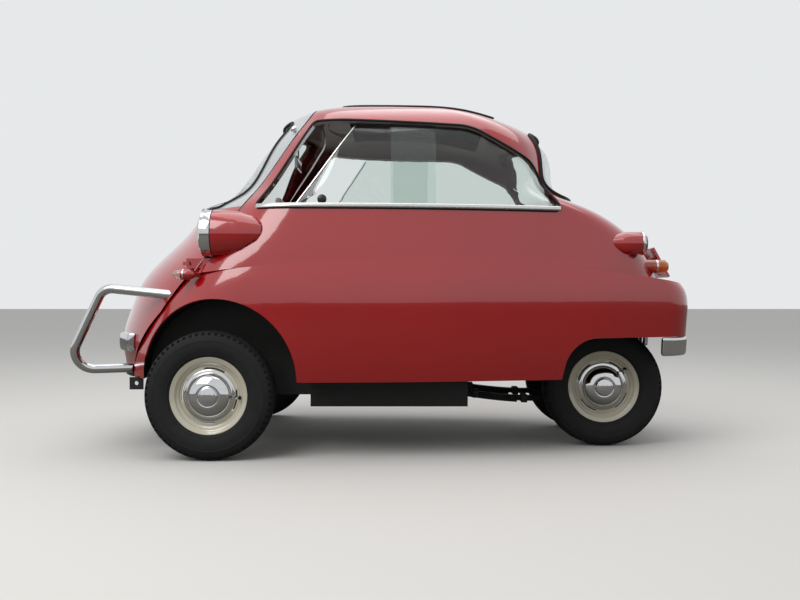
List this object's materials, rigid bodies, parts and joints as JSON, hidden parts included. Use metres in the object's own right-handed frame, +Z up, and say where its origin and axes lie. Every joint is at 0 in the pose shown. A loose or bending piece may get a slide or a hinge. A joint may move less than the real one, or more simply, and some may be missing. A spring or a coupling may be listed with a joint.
{
  "type": "bubble car",
  "caption": "Egg-shaped family bubble car whose nose is its door, with steered front wheels, a narrow rear track, sliding side windows and tubular front hoops.",
  "frame": {"origin": "on the floor, at the middle of the car's length and width", "axes": "the car faces -X, its left side is -Y, +Z is up"},
  "size_m": [2.391, 1.3802, 1.3509],
  "materials": {
    "red_paint": "gloss",
    "silver_paint": "satin",
    "cream_paint": "gloss",
    "black_paint": "satin",
    "glass": "gloss",
    "lamp_glass": "gloss",
    "red_lens": "gloss",
    "clear_lens": "gloss",
    "chrome": "polished",
    "mirror": "polished",
    "dark_red_vinyl": "satin",
    "black_fabric": "matte",
    "ivory_plastic": "gloss",
    "black_steel": "satin",
    "grey_casting": "matte",
    "tyre_rubber": "matte"
  },
  "bodies": {
    "body": {"body_shell": "red_paint", "wings": "red_paint", "floor_pan": "black_paint", "wheel_houses": "black_paint", "bulkhead": "black_paint", "side_panes_fixed": "glass", "side_panes_sliding": "glass", "rear_window": "glass", "sunroof": "black_fabric", "seat_base": "black_paint", "seat_cushion": "dark_red_vinyl", "seat_backrest": "dark_red_vinyl", "frame": "black_steel", "front_axle": "black_steel", "rear_axle": "black_steel", "rear_springs": "black_steel", "engine": "grey_casting", "silencer": "black_steel", "engine_cover": "red_paint", "headlight_pods": "red_paint", "headlight_glasses": "lamp_glass", "front_flashers": "clear_lens", "tail_lamps": "red_lens", "plate_holder": "black_paint", "rear_bumperettes": "chrome", "hinge_body": "chrome", "driver_controls": "black_steel"},
    "door": {"door_panel": "red_paint", "windscreen_frame": "silver_paint", "windscreen": "glass", "front_bumperettes": "chrome", "hoop_bars": "chrome", "hinge_door": "chrome", "instrument_pod": "silver_paint", "steering_column": "black_paint", "mirror": "mirror", "door_handle": "chrome"},
    "steering_wheel": {"steering_wheel": "ivory_plastic"},
    "knuckle_left": {"knuckle_left": "grey_casting"},
    "knuckle_right": {"knuckle_right": "grey_casting"},
    "wheel_front_left": {"rim_front_left": "cream_paint", "tyre_front_left": "tyre_rubber"},
    "wheel_front_right": {"rim_front_right": "cream_paint", "tyre_front_right": "tyre_rubber"},
    "wheel_rear_left": {"rim_rear_left": "cream_paint", "tyre_rear_left": "tyre_rubber"},
    "wheel_rear_right": {"rim_rear_right": "cream_paint", "tyre_rear_right": "tyre_rubber"}
  },
  "joints": [
    {"name": "front_door", "type": "hinge", "parent": "body", "child": "door", "pos_m": [-0.7225, -0.606, 0.716], "axis": [0, 0, 1], "range_deg": [0, 55]},
    {"name": "steer_left", "type": "hinge", "parent": "body", "child": "knuckle_left", "pos_m": [-0.6425, -0.54, 0.236], "axis": [0, 0, 1], "range_deg": [-28, 28]},
    {"name": "steer_right", "type": "hinge", "parent": "body", "child": "knuckle_right", "pos_m": [-0.6425, 0.54, 0.236], "axis": [0, 0, 1], "range_deg": [-28, 28]},
    {"name": "steering_wheel_turn", "type": "hinge", "parent": "door", "child": "steering_wheel", "pos_m": [-0.3065, -0.3, 0.825], "axis": [0.766, 0, 0.6428], "range_deg": [-340, 340]},
    {"name": "front_wheel_left", "type": "hinge", "parent": "knuckle_left", "child": "wheel_front_left", "pos_m": [-0.6425, -0.6, 0.236], "axis": [0, -1, 0], "continuous": true},
    {"name": "front_wheel_right", "type": "hinge", "parent": "knuckle_right", "child": "wheel_front_right", "pos_m": [-0.6425, 0.6, 0.236], "axis": [0, -1, 0], "continuous": true},
    {"name": "rear_wheel_left", "type": "hinge", "parent": "body", "child": "wheel_rear_left", "pos_m": [0.8575, -0.26, 0.236], "axis": [0, -1, 0], "continuous": true},
    {"name": "rear_wheel_right", "type": "hinge", "parent": "body", "child": "wheel_rear_right", "pos_m": [0.8575, 0.26, 0.236], "axis": [0, -1, 0], "continuous": true}
  ],
  "couplings": [
    {"joint": "steer_right", "follows": "steer_left", "ratio": 1},
    {"joint": "steering_wheel_turn", "follows": "steer_left", "ratio": 12}
  ]
}
